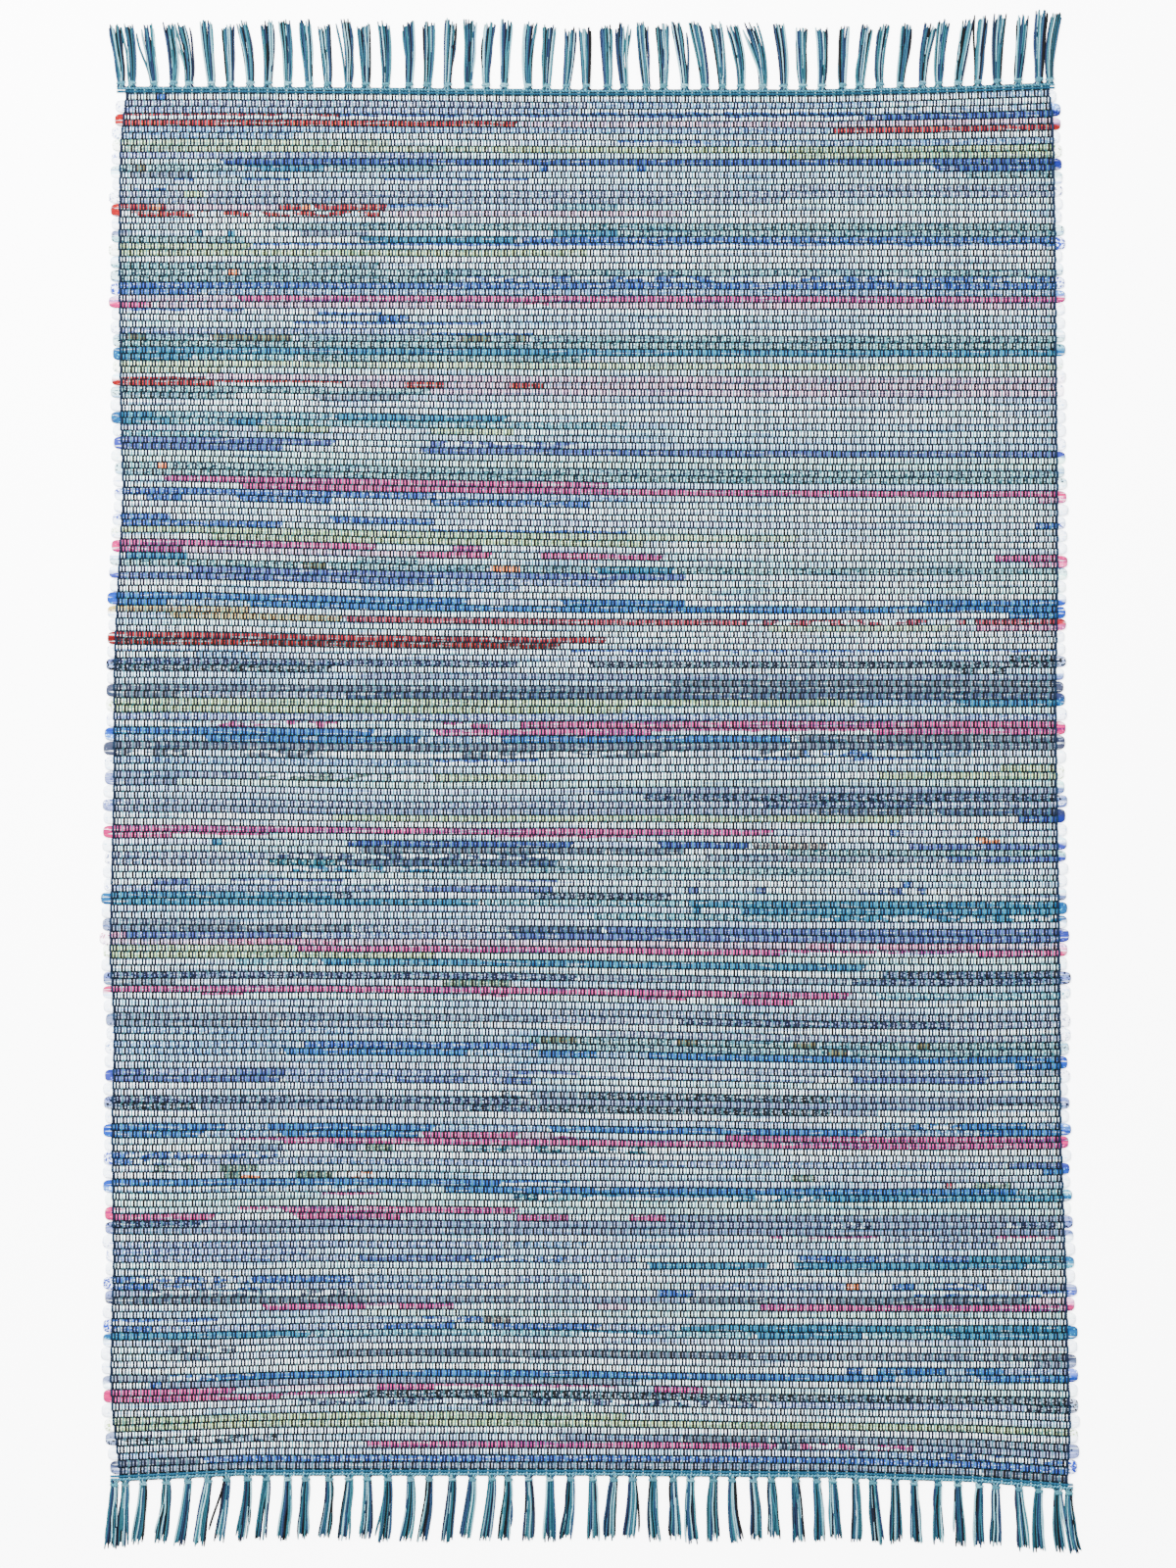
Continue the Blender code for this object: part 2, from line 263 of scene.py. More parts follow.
# Rags along each row, left to right: the weft, then kinds of rags, each but the last with
# the place where it ends, in px across the photo. ^ and _ are strips along the upper and
# the lower edge of a white rag, ~ is patches on it. Wefts that aren't named are white.
CHART_MIDDLE = 602     # px
CHART_SCALE = 1.406    # mm to a px
ROW_CHART = """
0 w 160 rb 171 w 1000 lb
1 lv 600 lb 900 w
2 lvb 590 rb_ 880 lb~
3 rd^ 345 db^ 880 db
4 rd 529 pk
5 lb 850 rd
6 lb 300 w
7 py 400 w 630 rb^ 715 lb
8 py 500 yg
9 lvb 455 w 800 yg
10 w 225 db
11 tp 138 tt 148 tp 250 tq 330 tp 455 w 550 rb 560 w 650 rb 660 w 950 db
12 w 135 gp 195 w 980 tp
13 w 179 rb^ 199 w 248 rb^ 297 w 393 rb^ 540 w
14 w 138 rb_ 170 w 800 lv
15 lv 188 yg 209 lv
16 lv 800 w
17 rd 154 or 164 rd 170 pk 285 rd 308 or 318 rd 395 rb^ 458 w 565 lt 630 w
18 rd~ 393 pk 700 w
20 w 279 tp
21 gp 135 w 199 tq 207 w 233 tq 241 w 306 gp 377 w 565 tq 630 tp
22 tp 250 w 368 tq 530 rb
23 yg 258 rb^
24 yg 600 w
26 tp 388.6 w
27 tp 232 or 244 tp
28 tp 470 rb~
29 rb
30 rb 205 lb
31 pk 240 mg
32 mg 155 pk 536 mg^ 560 pk
33 w 125 rb^ 250 w 323 rb_ 390 w
34 w 386 rb 417 w
35 w 300 rb^ 500 w
36 lvb 440 rb_ 545 w
37 tp 130 tt 150 tp 215 tt 300 tp 470 tt 500 tp 525 tt 537 tp
38 tp
39 tq
40 tq 200 lt 305 tp 600 w
41 py
42 py 230 w
43 w 122 rd_ 210 pk
44 rd 220 rd^ 350 pk 413 rd 455 pk 520 rd 555 pk
45 tp 440 pk
46 tp 240 w 320 gp 410 w
49 tq 155 lt 341 tq 520 w
50 tq 175 lt 232 tq 268 lt 640 w
51 w 263 yg 339 w 440 yg 525 w
52 lt 232 w
53 vb 345 w 440 vb~ 590 w
54 vb 290 w 427 vb
55 mt
56 mt
57 tp 160 or 170 tp
58 tp
59 w 165 mg 620 w
60 w 245 mg
61 rb 445 lb 640 w 1060 pm
62 w 150 rb 185 w 240 rb 340 w 440 rb 603 w
65 rb 175 w 335 rb 445 w 1057 rb
66 w 125 rb 290 w 440 rb_ 640 w
67 yg 602 py 815.4 w
68 w 215 yg 660 w
69 mg 385 w 462 mg 490 w
70 mg 185 pk 425 mg 505 w 550 mg 680 w 1015 mg
71 w 130 tq 192 w 364 tp 428 w 1050 pm
72 tp 310 tt 333 tp 501 or 532 tp 605 tq 689 tp
73 w 190 vb 700 w 1000 mt
74 vb 445 lvb 630 w
75 w 367 lb 531 w 687 mt
77 bb 480 w 570 bb 700 w 940 bb
78 bb 170 lb 250 bb
79 by 260 w 1030 bb
80 w 170 by 350 co 765 co~ 985 w 995 co
81 w 780 py 970 w 995 pm
83 cr 620 w
84 rk 572 w
85 lb_ 250 w 583 rb^ 1080 w
86 w 200 lb 265 w 1030 bw
87 nw 530 w 600 bw
88 bw 340 w 960 bw~ 1025 w
89 w 367 gl 815.4 gl
90 w 680 ch
91 ch
92 dg 185 lv 350 nb
93 yg 875 lb 975 tq
94 yg 640 w
95 lvb
96 w 215 mg~ 345 w 450 mg~ 500 w 530 mg
97 bb 385 lb 440 mg 665 mg^ 885 mg
98 lb 210 bb 430 lb 510 bb 808 ch
99 ch
100 ch~ 200 w 250 ch~ 330 w 470 ch~ 700 w 775 ch~ 820 rb~ 890 w 930 lb 990 w
101 lb 445 rb^ 550 w 745 rb^ 815 w 870 rb^ 960 w
102 w 1020 yg
103 gl 265 ol~ 400 w 440 yg 560 w 895 yg
104 gl 180 mt
105 w 602 gl
106 w 655 nw
107 lv 775 nw 950 lv
108 gl 830 ch 955 nb
109 w 340 yg 920 w 1040 db
111 mg 790 w 907 rb 917 w
112 mg 175 mg^ 275 w 505 mg^ 650 w 990 or~ 1020 w
113 w 218 tq 228 w 355 db 585 w 670 db 765 tn 845 w 925 vb
114 w 365 ch 620 dg 700 w 800 tp
115 lv 275 nb~ 560 w 720 gp 965 vb
116 lv 275 dt 350 nb 570 w
117 w 300 tq~ 445 tp 870 w
119 w 155 vb 195 w 235 vb^ 350 w 525 vb^ 570 w 920 rb 930 w
120 lvb 430 vb 565 w 702 vb 712 w 772 vb 782 w 875 vb~ 945 w
121 tq 340 bw 360 w 545 bw 685 w 970 gp^
122 tq 490 lt 700 tq
123 w 706 tq 716 w 755 tq
124 w 602 lt 837 tq~
125 gp 245 w
126 gp 180 ch 360 lv 515 nb 615 vb
127 pm 130 vb 310 lvb 520 vb
128 pk 230 pm 350 pk 820 pm 850 pk 890 pm 1000 pk
129 yg 303 mg 805 mg^ 995 mg
130 yg 445 mt
131 w 240 lt 325 tq 885 w
132 w 900 nw
133 nw 590 gp 870 nw
134 gp 180 w 452 ol 520 w
135 mg 870 w 890 lt
136 w 205 mg^ 250 w 490 mg^ 520 w 650 mg^ 700 w 755 mg 808 w
138 w 560 lv
139 gp 560 lv 690 nw 970 lv
140 gp 290 lv 440 w
141 lb 367 w 602 lv
142 w 540 tp 552 tt 590 tp 690 tt 710 tp 811 tt 833 tp 935 tt 948 tp
143 lb 310 rb 550 tp 845 tt 865 tp
144 lb 290 bb 480 lb 550 bb 610 lb 660 bb
145 w 1035 bb
146 w 673 lv
147 vb 150 lvb 240 vb 291 lvb 528 vb^ 592 lvb_ 830 w 870 vb 1008 vb_ 1063 w
148 vb 291 lvb 403 vb 475 lvb 515 vb 543 w
150 w 475 bw~ 545 gp 590 bw 850 gl
151 nw 545 gl 1010 bw^
152 bw 201 gl 480 nw 545 bw 850 gl 895 w
154 w 903 lb 930 bb~ 980 bb 1048 lb
155 bb 232 lb 272 bb 445 lb 560 bb 885 lb 1000 bb
156 bb 210 lb 285 bb 430 mg 532 pk 565 mg_ 590 w 740 mg
157 w 240 mg^ 287 mg
158 w 236 gl 289 w 342 gl 364 w 373 ol 401 w 473 dt~ 660 w
159 rb~ 285 w
160 rb~ 199 lvb 1028 vb
161 w 157 ol~ 197 w 225 ol 265 w 1063 bb
162 w 230 ol 245 or_ 267 w 302 ol 340 w 355 or~ 380 w 808 ol 832 w
163 bb 515 bb^ 583 w 965 co 971 w 977 ol~ 1032 w
164 lb_ 223 lb~ 453 bb 1039 lt
165 mt 329 mg^ 388 mt 524 dt 550 lt~ 594 tq^ 748 tq~ 841 tq
166 mt
167 mg^ 130 w 243 mg^ 287 mg 528 mt
168 mg 221 w 298 mg 408 w 528 mg 581 w 642 mg 680 gl
169 nw 210 gl 850 nw~ 890 gl 1028 nw~
170 gl
171 w 786 mg^ 798 w 825 mg^ 896 lv 1015 mg^ 1075 w
172 lvb 520 lb 600 w 958 lvb 1019 w
173 lvb 320 w
174 lvb 364 vb 480 rb~ 577 lvb 650 w 812 rb 896 lvb 949 rb 988 tq
175 w 660 tq 785 w 810 tq 1050 lt
177 rb~ 254 rb 360 lb 493 w 528 lvb 594 w
178 rb 157 rb~ 283 lvb 520 w 572 lb 603 w 713 lvb 863 or 876 w 911 rb 933 w 951 rb~ 1006 w 1035 gl
179 gl 155 ch~ 267 w 307 ch~ 364 w 671 rb 708 w 933 rb_ 1063 rb^
180 ch 377 gl 440 gp 535 gl 700 ch 786 gl 841 ch 1052 pk
181 w 267 mg 375 pm^ 408 mg 465 w 609 pk 640 w 775 mg
182 w 367 mt
183 rb^ 223 w 425 rb~ 493 tn 521 w
184 rb 155 lvb 392 rb 464 w 500 rb 616 lvb 693 tq
185 tq 320 lt 594 tq^ 673 lt 770 tq 880 lt 966 tq
187 w 161 ch~ 241 w
188 w 188 gp 214 w 338 ch 770 gp 1035 ch
189 w 510 gp~ 572 w 1054 gp
190 w 863 rb 880 w 894 bb 966 w 986 bb 1026 lvb
191 gp 173 bb~ 219 bb 916 lb 995 bb
192 w 153 rb 166 gl 546 gp 651 w 947 mt 970 w
193 mg 243 pk^ 384 mg 445 mg^ 629 w 667 mg 717 mt
194 mg 291 mg^ 366 bw
195 w 305 nw~ 785 lvb 1048 bw
197 yg 638 w
198 yg
199 gp_ 155 w
200 bw~ 283 w 570 gl 697 ch 785 gp
201 w 373 mg 795 ch 817 mg~ 933 gl
202 w 852 lb 960 rb~
203 dg 205 rb
204 gp 1000 dg
"""

ROWS = dict(line.split(" ", 1) for line in ROW_CHART.strip().splitlines())

# How far strips reach down a rag; more than 1 covers it
WHOLE_COVER = 1.6
STRIP_COVER = {"^": 0.42, "_": 0.42, "~": 0.5, "": WHOLE_COVER}
SPLICE_COVER = 0.12         # where a rag begins or runs out

# Heading and tassels
TWINE_TURN = 0.0047         # one twist of a pair of yarns along the heading
TWINE_ROWS = (0.0030, 0.0074)
TWINE_RADIUS = 0.0011
TWINE_SWAY = 0.0012
TWINE_RISE = 0.0011
TWINE_HEIGHT = 0.0026
TWINE_PARTS = 12            # lengths of yarn, each with a shade of its own
TWINE_VARIATION = 0.15
HEADING_PAST = 0.006        # the headings end this far past the outer knots
TWINE_COLOURS = (("#40788c", "#32627a"), ("#6c9eac", "#427a8c"))
YARNS_PER_TASSEL = 12
TASSEL_SHADES = ("#242c46", "#30606a", "#44747c", "#30405e", "#86a6ac", "#06060a",
                 "#2e4a60", "#34626e", "#94b0b6", "#3a566e", "#40727c", "#10141e")
TASSEL_STEPS = 9
TASSEL_YARN = 0.0020
TASSEL_VARIATION = 0.18
TASSEL_HALF_WIDTH = 0.0046
TASSEL_FAN = 0.0040         # wider at the tip by this on both sides
RIPPLE = 0.0008
STRAY_SHARE = 0.07
STRAY_REACH = 0.007
TIP_SHARE = 0.55            # of the yarn's radius, at its tip
TIP_FUZZ = 0.008            # loose tips reach on past the solids' locks
KNOT_STEPS = 26
KNOT_TURN = 3.2             # half turns
KNOT_REACH = 0.0050
KNOT_DEPTH = 0.007
KNOT_RADIUS = 0.0022
KNOT_LIGHT = (0.03, 0.12, 0.15)
PLY_TURNS = 260.0           # twists of the two plies per metre
EDGE_YARN_WIDTH = 0.0034
EDGE_YARN_LIFT = 0.0004     # the doubled yarns at the edges lie over the first warps
EDGE_YARNS = (
    # shed, shift outwards, colour
    (0, 0.0, "#0a2c44"),
    (1, 0.0010, "#0c3a50"),
)

# Light and shade
WHITE_LOW = (0.80, 0.88, 0.94, 1.0)
WHITE_HIGH = (0.90, 0.95, 0.98, 1.0)
PILLOW_SHADE = 0.26         # painted shade on the rags beside the warps
STREAKS = (
    # place in the noise, tint, noise value from which it shows
    (0.0, (0.30, 0.46, 0.78, 1.0), 0.555),
    (3.7, (0.38, 0.72, 0.78, 1.0), 0.57),
    (8.1, (0.42, 0.46, 0.62, 1.0), 0.555),
)
STRETCHES = {
    # how fine each noise is along x and y
    "strip": (45.0, 180.0),
    "patch": (38.0, 120.0),
    "streak": (7.0, 240.0),
    "worn": (26.0, 330.0),
    "print": (1.0, 1.25),
    "dye": (14.0, 90.0),
    "knit": (900.0, 500.0),
    "squeeze": (150.0, 110.0),
    # fold: for the painted shade lines along folds
    "fold": (16.0, 260.0),
}
GROOVE_SHADE = 0.02         # painted shade in the groove between two rows
BUMP_STRENGTH = 0.5
RAG_RELIEF = 0.0006
YARN_RELIEF = 0.0004
FLOOR_LOW = (0.93, 0.93, 0.93, 1.0)
FLOOR_HIGH = (0.95, 0.95, 0.95, 1.0)
FLOOR_SIZE = 14.0
FLOOR_GLOW = 2.5            # a table lit from below, as for pictures of goods
SKY_COLOUR = (0.97, 0.985, 1.0, 1.0)
SKY_STRENGTH = 4.0
KEY_PLACE = (-1.6, 2.4, 4.2)
KEY_SIZE = 3.0
KEY_POWER = 1600.0

# Camera straight above; the picture is 1.687 m wide on the floor
CAMERA_HEIGHT = 8.0
VIEW_WIDTH = 1.6872
VIEW_MIDDLE = (-0.0028, -0.0034)


def srgb(code):
    """Linear colour of a #rrggbb code, deepened because strong light pales colours."""
    values = [int(code[k:k + 2], 16) / 255 for k in (1, 3, 5)]
    linear = [v / 12.92 if v <= 0.04045 else ((v + 0.055) / 1.055) ** 2.4 for v in values]
    return [v ** DEEPEN for v in linear]


def shaded(colour, share, rng):
    """The colour a little lighter or darker, by at most the share."""
    shade = 1 + share * rng.uniform(-1, 1)
    return np.array([*(min(1.0, c * shade) for c in colour), 1.0])


def between(table, key, column):
    """Value of a column of a station table at keys, by straight lines."""
    rows = sorted(table)
    return np.interp(key, [row[0] for row in rows], [row[column] for row in rows])


def weft_y(index):
    return between(WEFT_STATIONS, index, 1)


def groove_places():
    """y of the grooves between the wefts, with both ends of the cloth."""
    y = weft_y(np.arange(WEFTS))
    first = y[0] + 0.5 * (y[0] - y[1])
    last = y[-1] - 0.5 * (y[-2] - y[-1])
    return np.array([first, *(0.5 * (y[:-1] + y[1:])), last])


GROOVES = groove_places()


def smooth_noise(rng, rows):
    """Random field from -1 to 1, evened out twice along its rows."""
    field = rng.uniform(-1, 1, (rows, WEFT_NODES))
    for _ in range(2):
        padded = np.pad(field, ((0, 0), (1, 1)), mode="edge")
        field = 0.25 * padded[:, :-2] + 0.5 * field + 0.25 * padded[:, 2:]
    return field / np.abs(field).max()


FIELD = np.random.default_rng(5)
SHARES = np.linspace(-1, 1, WEFT_NODES)
WANDER = smooth_noise(FIELD, WEFTS + 1) * EDGE_WANDER
WANDER[[0, WEFTS]] = 0.0
CRESTS = THICKNESS + smooth_noise(FIELD, WEFTS) * CREST_WANDER


def sag(y, shares):
    """How far a groove sags towards -Y at shares of the half width."""
    depth = 0.0
    for middle, reach, middle_share, wide, most in SAG_WAVES:
        along = np.exp(-((y - middle) / reach) ** 2)
        depth += most * along * np.exp(-((shares - middle_share) / wide) ** 2)
    held_left = 1 - np.exp(-((shares + 1) / SAG_LEFT_REACH) ** 2)
    held_ends = max(0.0, 1 - abs(y / SAG_END_REACH) ** SAG_END_POWER)
    return depth * held_left * held_ends


def end_fade(place):
    """Shifts at both ends fade towards the middle of the rug."""
    north = max(0.0, 1 - place / END_FADE)
    south = max(0.0, 1 - (WEFTS - place) / END_FADE)
    return north, south


def groove_line(place, shares):
    """y of the groove number place, at shares of the half width."""
    north, south = end_fade(place)
    y = GROOVES[place] + north * between(END_STATIONS, shares, 1)
    y = y + south * between(END_STATIONS, shares, 2)
    return y - sag(GROOVES[place], shares) + np.interp(shares, SHARES, WANDER[place])


def edges_at(y):
    """x of the left and of the right edge at y."""
    return between(SELVEDGE_STATIONS, y, 1), between(SELVEDGE_STATIONS, y, 2)


def across(y, shares):
    """x at shares of the half width for a row that starts at y."""
    left, right = edges_at(y)
    return left + 0.5 * (shares + 1) * (right - left)


def crest_height(weft, shares):
    return np.interp(shares, SHARES, CRESTS[weft])


def add_object(name, data):
    obj = bpy.data.objects.new(name, data)
    bpy.context.scene.collection.objects.link(obj)
    return obj


def blank_maps(rows, columns):
    """Maps for baking and for the weave, to be filled."""
    return np.zeros((rows, columns, 2)), np.zeros((rows, columns, 2))


def quads(table, flip):
    """The four corners of every cell of a table of rows and columns, in order."""
    corners = (table[:-1, :-1], table[:-1, 1:], table[1:, 1:], table[1:, :-1])
    return np.stack(corners[::-1] if flip else corners, axis=2)


class Pile:
    """Collects quads with their maps and colours, and makes one mesh of them."""

    def __init__(self):
        self.verts = []
        self.faces = []
        self.smooth = []
        self.bake = []
        self.weave = []
        self.colours = {}
        self.count = 0

    def add_grid(self, points, bake, weave, colours, closed=False, flip=False, caps=False):
        """points is rows by columns by 3; maps and colours have the same rows and columns.

        A closed grid joins its last column to its first, so its maps have one column more.
        Caps close the ends of a tube of six columns.
        """
        rows, columns = points.shape[:2]
        maps = ((self.bake, bake), (self.weave, weave))
        number = np.arange(rows * columns).reshape(rows, columns) + self.count
        if closed:
            number = np.concatenate([number, number[:, :1]], axis=1)
        self.faces.append(quads(number, flip).reshape(-1, 4))
        self.smooth.append(np.ones(len(self.faces[-1]), dtype=bool))
        for store, table in maps:
            store.append(quads(table, flip).reshape(-1, 2))
        if caps:
            for row, order in ((0, FIRST_CAP), (-1, LAST_CAP)):
                self.faces.append(number[row][np.array(order)])
                self.smooth.append(np.zeros(len(order), dtype=bool))
                for store, table in maps:
                    store.append(table[row][np.array(order)].reshape(-1, 2))
        self.verts.append(points.reshape(-1, 3))
        for name, table in colours.items():
            full = np.broadcast_to(table, (rows, columns, 4))
            self.colours.setdefault(name, []).append(full.reshape(-1, 4))
        self.count += rows * columns

    def make(self, name, material):
        verts = np.concatenate(self.verts)
        faces = np.concatenate(self.faces)
        mesh = bpy.data.meshes.new(name)
        mesh.vertices.add(len(verts))
        mesh.vertices.foreach_set("co", verts.astype(np.float32).ravel())
        mesh.loops.add(faces.size)
        mesh.loops.foreach_set("vertex_index", faces.astype(np.int32).ravel())
        mesh.polygons.add(len(faces))
        mesh.polygons.foreach_set("loop_start", np.arange(0, faces.size, 4, dtype=np.int32))
        mesh.update(calc_edges=True)
        mesh.validate()
        for layer, store in (("OFBake", self.bake), ("weave", self.weave)):
            table = mesh.uv_layers.new(name=layer)
            table.uv.foreach_set("vector", np.concatenate(store).astype(np.float32).ravel())
        for layer, store in self.colours.items():
            table = mesh.color_attributes.new(layer, "FLOAT_COLOR", "POINT")
            table.data.foreach_set("color", np.concatenate(store).astype(np.float32).ravel())
        mesh.polygons.foreach_set("use_smooth", np.concatenate(self.smooth))
        mesh.materials.append(material)
        return add_object(name, mesh)


def rag_colours(mark):
    """Main colour, flecks with their amount, and traits of a rag kind with its mark."""
    kind = mark.rstrip("^_~")
    strip = mark[len(kind):]
    main, fleck, amount = RAG_KINDS[kind]
    return (
        np.array([*srgb(main), 1.0]),
        np.array([*srgb(fleck), amount]),
        STRIP_COVER[strip],
        1.0 if strip == "_" else 0.0,
        1.0 if strip == "~" else 0.0,
    )


def pick_white(weft, number):
    """White rags lean a little to blue, mint or lavender."""
    draw = random.Random(100 * weft + number)
    tint = draw.choice(WHITE_TINTS)
    shade = 1 - WHITE_VARIATION * draw.random()
    return np.array([*(c * shade for c in tint), 1.0])


def chart_place(text):
    """x of a place in the chart, to the millimetre."""
    return 0.001 * round((float(text) - CHART_MIDDLE) * CHART_SCALE)


def row_rags(weft):
    """Rags of a row as (mark, x where it starts, x where it ends)."""
    parts = ROWS.get(str(weft), "w").split()
    rags = []
    start = -1.0
    for k in range(0, len(parts), 2):
        end = chart_place(parts[k + 1]) if k + 1 < len(parts) else 1.0
        rags.append((parts[k], start, end))
        start = end
    return rags


def row_section(north, south, crest):
    """Six points round a rag: (y, z) pairs for arrays of edges and crest heights."""
    width = north - south
    upper = north + ROW_OVERLAP
    lower = south - ROW_OVERLAP
    slope = SLOPE_SHARE * width
    mid = np.full_like(north, MID_HEIGHT)
    foot = np.full_like(north, UNDER_HEIGHT)
    return (
        (upper, mid),
        (upper - slope, crest),
        (lower + slope, crest),
        (lower, mid),
        (lower + slope, foot),
        (upper - slope, foot),
    )


def rag_stations(first, last, cover, splice):
    """Shares of the half width along a rag, and how far its colour covers it there."""
    inner = SHARES[(SHARES > first + TINY) & (SHARES < last - TINY)]
    shares = [first, last, *inner]
    whole = cover > 1 and last - first > 3 * splice
    begins = whole and first > -1
    runs_out = whole and last < 1
    if begins:
        shares.append(first + splice)
    if runs_out:
        shares.append(last - splice)
    covers = np.full(len(shares), cover)
    if begins:
        covers[0] = SPLICE_COVER
    if runs_out:
        covers[-1] = SPLICE_COVER
    return np.array(sorted(shares)), covers


def weave_rags(pile):
    """Every weft as a flattened tube whose rags follow the chart."""
    for weft in range(WEFTS):
        y_row = weft_y(weft)
        left, right = across(y_row, np.array([-1.0, 1.0]))
        half = 0.5 * (right - left)
        middle = 0.5 * (right + left)
        slot = (WEFTS - 1 - weft) / WEFTS
        for number, (mark, start, end) in enumerate(row_rags(weft)):
            first = max((start - middle) / half, -1.0)
            last = min((end - middle) / half, 1.0)
            if last <= first:
                continue
            main, fleck, cover, side, patchy = rag_colours(mark)
            if mark == "w":
                main = pick_white(weft, number)
            shares, covers = rag_stations(first, last, cover, SPLICE / half)
            north = groove_line(weft, shares)
            south = groove_line(weft + 1, shares)
            crest = crest_height(weft, shares)
            x = across(y_row, shares)
            ring = [np.stack([x, y, z], axis=-1) for y, z in row_section(north, south, crest)]
            bake, weave = blank_maps(len(shares), SECTION_POINTS + 1)
            bake[:, :, 0] = (0.5 + 0.499 * shares)[:, None]
            places = 1 - MAP_FILL * np.array(SECTION_PLACES) - MAP_MARGIN
            bake[:, :, 1] = slot + places / WEFTS
            warp_count = 0.5 * (shares + 1) * WARPS
            weave[:, :, 0] = (0.5 * (warp_count - weft % 2))[:, None]
            weave[:, :, 1] = np.array(SECTION_ACROSS)
            trait = np.ones((len(shares), SECTION_POINTS, 4))
            trait[:, :, 0] = covers[:, None]
            trait[:, :, 1] = side
            trait[:, :, 2] = patchy
            colours = {"rag": main, "fleck": fleck, "trait": trait}
            points = np.stack(ring, axis=1)
            pile.add_grid(points, bake, weave, colours, closed=True, caps=True)


def turn_reach(index, side):
    """Reach of a turn of the rag, with the same draws as in the solids."""
    turn = (index - FIRST_TURN[side]) // 2
    return LOOP_REACH + random.Random(10 * turn + side).uniform(-1, 1) * LOOP_VARIATION


def turn_points(upper, side):
    """Sections of the turn that joins weft upper to the next, from its top to its foot."""
    out = -1.0 if side == 0 else 1.0
    share = np.array([out])
    reach = turn_reach(upper, side)
    y_top, y_mid, y_low = (groove_line(upper + k, share)[0] for k in range(3))
    x_edge = across(weft_y(upper), share)[0]
    wide = 0.5 * (y_top - y_low)
    draw = random.Random(7 * upper + side)
    bulge = draw.uniform(*TURN_BULGE)
    rows = []
    for k in range(TURN_STEPS + 1):
        angle = min(math.pi * k / TURN_STEPS, math.pi - 1e-9)
        direction = np.array([
            out * math.sin(angle) ** TURN_FULLNESS,
            math.copysign(abs(math.cos(angle)) ** TURN_FULLNESS, math.cos(angle)),
        ])
        long = np.array([reach * bulge, wide])
        outer_point = direction * long * (1.0, TURN_WIDTH)
        inner_point = direction * np.array([TURN_HOLE[0] * reach, TURN_HOLE[1] * wide])
        span = outer_point - inner_point
        fold = TURN_FOLD * draw.uniform(-1, 1)
        crest = TURN_CREST - TURN_DIP * math.sin(angle) + fold
        heights = (TURN_OUTER_HEIGHT, crest, crest, TURN_INNER_HEIGHT, UNDER_HEIGHT,
                   UNDER_HEIGHT)
        section = []
        for share_out, z in zip(TURN_SECTION, heights):
            place = inner_point + share_out * span
            section.append((x_edge + place[0], y_mid + place[1], z))
        rows.append(section)
    return np.array(rows)


def turn_colours(upper, side):
    """Colours of a turn: those of the row's rag, then those of the next row's rag."""
    steps = TURN_STEPS + 1
    first, second = (rag_colours(row_rags(upper + k)[-side][0]) for k in (0, 1))
    mix = np.clip(np.arange(steps) - steps * 0.5 + 1.0, 0, 1)[:, None, None]
    colours = {}
    least, reach, most = PALE_TURNS
    for name, k in (("rag", 0), ("fleck", 1)):
        colour = ((1 - mix) * first[k] + mix * second[k]) ** TURN_DEEPEN
        pale = np.clip((colour[:, :, :3].min() - least) / reach, 0, most)
        colours[name] = (1 - pale) * colour + pale * np.array(TURN_WHITE)
    trait = np.ones((steps, SECTION_POINTS, 4))
    covers = [min(rag[2] + TURN_COVER, WHOLE_COVER) for rag in (first, second)]
    trait[:, :, 0] = ((1 - mix) * covers[0] + mix * covers[1])[:, :, 0]
    trait[:, :, 1] = 0.5
    trait[:, :, 2] = 0.0
    colours["trait"] = trait
    return colours


def make_turns(pile):
    """The rag runs out of one row, round, and back into the next, at both sides."""
    steps = TURN_STEPS + 1
    for side in (0, 1):
        for upper in range(FIRST_TURN[side], WEFTS - 1, 2):
            number = (upper // 2) % TURN_SLOTS
            bake, weave = blank_maps(steps, SECTION_POINTS + 1)
            bake[:, :, 0] = 0.5 * side + 0.01 + 0.48 * np.linspace(0, 1, steps)[:, None]
            places = 0.02 + 0.96 * np.array(SECTION_PLACES)
            bake[:, :, 1] = (number + places) / TURN_SLOTS
            weave[:, :, 0] = TURN_BETWEEN_WARPS
            weave[:, :, 1] = np.array(TURN_ACROSS)
            points = turn_points(upper, side)
            colours = turn_colours(upper, side)
            pile.add_grid(points, bake, weave, colours, closed=True, flip=side == 0)


def warp_nodes(shed):
    """Places of a warp yarn that lies over the wefts of one shed: (kind, weft)."""
    nodes = [("outer", 0), ("groove", 0)]
    for weft in range(WEFTS):
        face = "over" if weft % 2 == shed else "under"
        nodes += [(face + "_start", weft), (face + "_end", weft)]
    return nodes + [("groove", WEFTS), ("outer", WEFTS)]


def warp_lines(shares, shed):
    """x, y and z of the warp yarns at shares, one row per place along the yarn."""
    rows = []
    lines = [groove_line(place, shares) for place in range(WEFTS + 1)]
    for kind, weft in warp_nodes(shed):
        x = across(weft_y(min(weft, WEFTS - 1)), shares)
        if kind == "outer":
            out = 1 if weft == 0 else -1
            y = lines[weft] + out * (HEADING_DEPTH + WARP_END_PAST)
            rows.append((x, y, WARP_END_HEIGHT + 0 * x))
            continue
        if kind == "groove":
            rows.append((x, lines[weft], MID_HEIGHT + 0 * x))
            continue
        width = lines[weft] - lines[weft + 1]
        inset = SLOPE_SHARE if kind.endswith("start") else 1 - SLOPE_SHARE
        y = lines[weft] - inset * width
        if kind.startswith("over"):
            z = crest_height(weft, shares) + YARN_LIFT
        else:
            z = YARN_UNDER + 0 * x
        rows.append((x, y, z))
    return np.array(rows)


